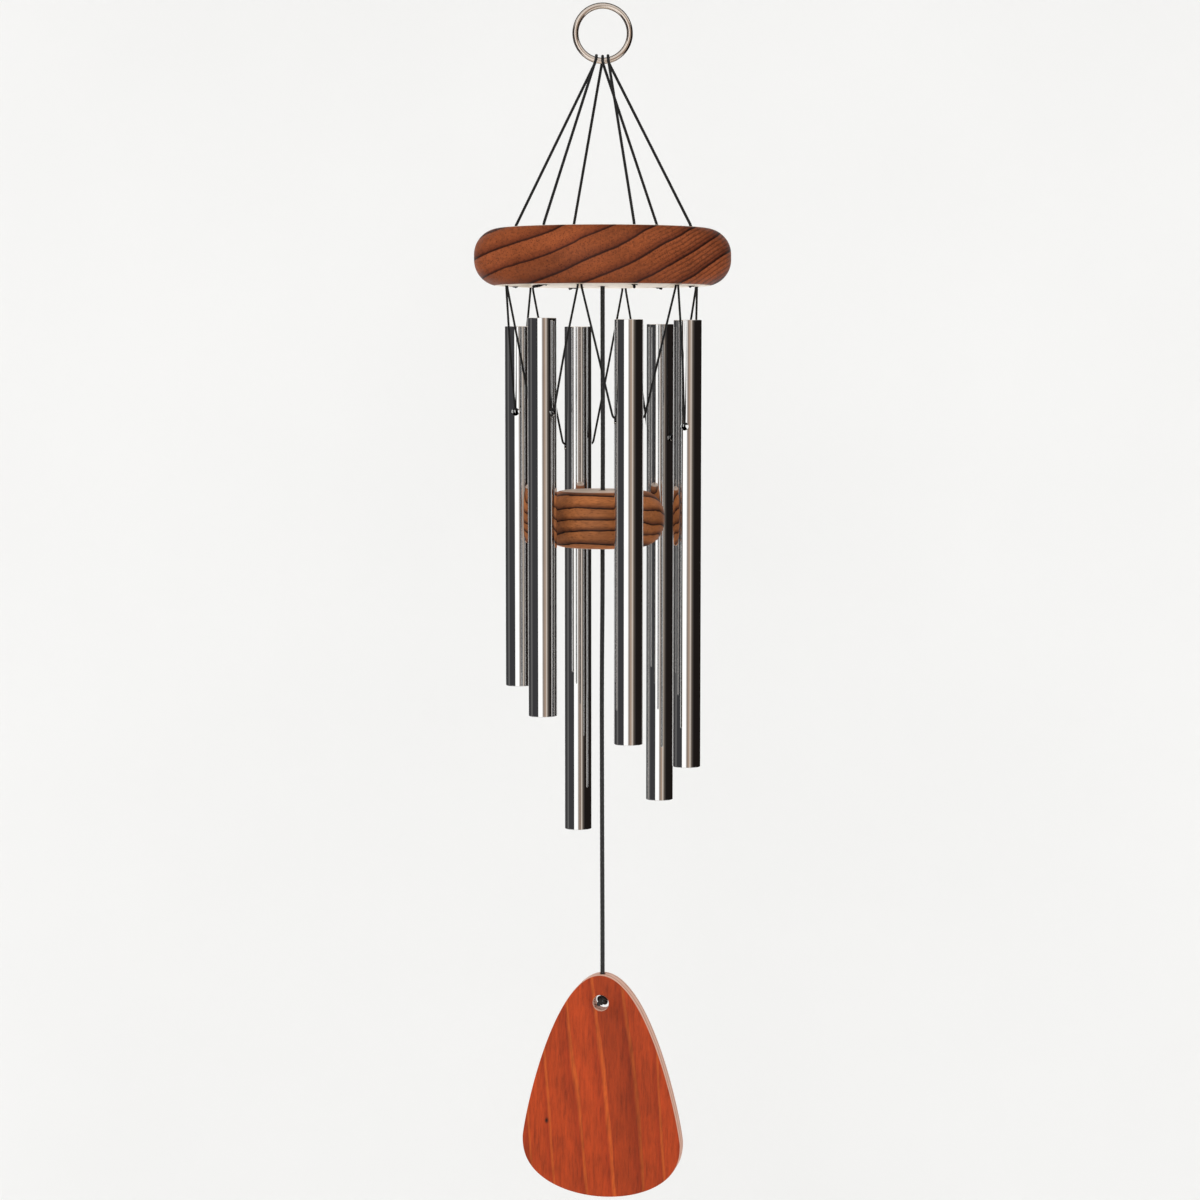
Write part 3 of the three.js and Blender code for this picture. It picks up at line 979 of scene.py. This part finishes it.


# painted reflections for the polished tubes: glowing strips, dark and bright, round the chime that only
# glossy surfaces see, from and to in degrees from the camera
REFLECTION_CARD_R, REFLECTION_CARD_LOW, REFLECTION_CARD_HIGH = 1.25, -0.98, 0.5
PAINTED_REFLECTION_BANDS = (
    (-152, -106, (0.052, 0.051, 0.053)),
    (-106, -88, (0.135, 0.132, 0.13)),
    (-88, -36, (0.048, 0.047, 0.05)),
    # the bright strip: a painted highlight down the tubes
    (-36, -3, (1.16, 1.15, 1.13)),
    (-3, 4, (0.44, 0.40, 0.37)),
    (4, 12, (0.26, 0.20, 0.16)),
    (12, 25, (0.42, 0.31, 0.24)),
    (25, 33, (0.68, 0.60, 0.53)),
    (33, 40, (0.28, 0.24, 0.20)),
    (40, 48, (0.10, 0.082, 0.07)),
    (48, 57, (0.042, 0.036, 0.033)),
    (57, 152, (0.013, 0.010, 0.009)),
)


# one glowing strip of painted reflection, seen only by glossy surfaces
def painted_reflection_strip(name, start, end, colour):
    columns = [around(a, REFLECTION_CARD_R, 0) for a in np.linspace(start, end, 9)]
    vertices = [(x, y, z) for x, y, _ in columns for z in (REFLECTION_CARD_LOW, REFLECTION_CARD_HIGH)]
    faces = [(2 * i, 2 * i + 2, 2 * i + 3, 2 * i + 1) for i in range(len(columns) - 1)]
    card(name, vertices, faces, colour)


def lamp(name, location, aim, size, power):
    data = bpy.data.lights.new(name, "AREA")
    data.shape, data.size, data.size_y = "RECTANGLE", size[0], size[1]
    data.energy = power
    obj = bpy.data.objects.new(name, data)
    bpy.context.scene.collection.objects.link(obj)
    obj.location = location
    obj.rotation_euler = (Vector(aim) - Vector(location)).to_track_quat("-Z", "Y").to_euler()
    obj.visible_glossy = False
    obj.visible_camera = False


studio_floor()
for n, (start, end, colour) in enumerate(PAINTED_REFLECTION_BANDS):
    painted_reflection_strip(f"room_{n + 1}", start, end, colour)
# painted dark reflections above and below and behind, which give the ring its dark outline
for name, height, start in (("room_over", REFLECTION_CARD_HIGH, -0.05), ("room_under", REFLECTION_CARD_LOW, 0.1)):
    corners = [(x, y, height) for x in (-1.2, 1.2) for y in (start, 1.6)]
    card(name, corners, [(0, 1, 3, 2)], (0.03, 0.024, 0.02))
lamp("key", (-1.1, -1.6, 0.7), (0, 0, -0.3), (1.0, 1.0), 16)
lamp("fill", (1.3, -1.5, 0.1), (0, 0, -0.3), (0.9, 1.2), 6)
lamp("below", (0, 0.6, -1.35), (0, 0, -0.14), (1.0, 0.6), 11)
for side, x in (("left", -2.2), ("right", 2.2)):
    lamp(f"wall_{side}", (x, 0.8, -0.4), (0, 2.6, -0.5), (1.0, 1.6), 10.5)

world = bpy.data.worlds.new("studio")
bpy.context.scene.world = world
world.use_nodes = True
world.node_tree.nodes["Background"].inputs["Color"].default_value = (0.945, 0.94, 0.92, 1)
world.node_tree.nodes["Background"].inputs["Strength"].default_value = 0.82
bpy.context.scene.view_settings.view_transform = "Standard"
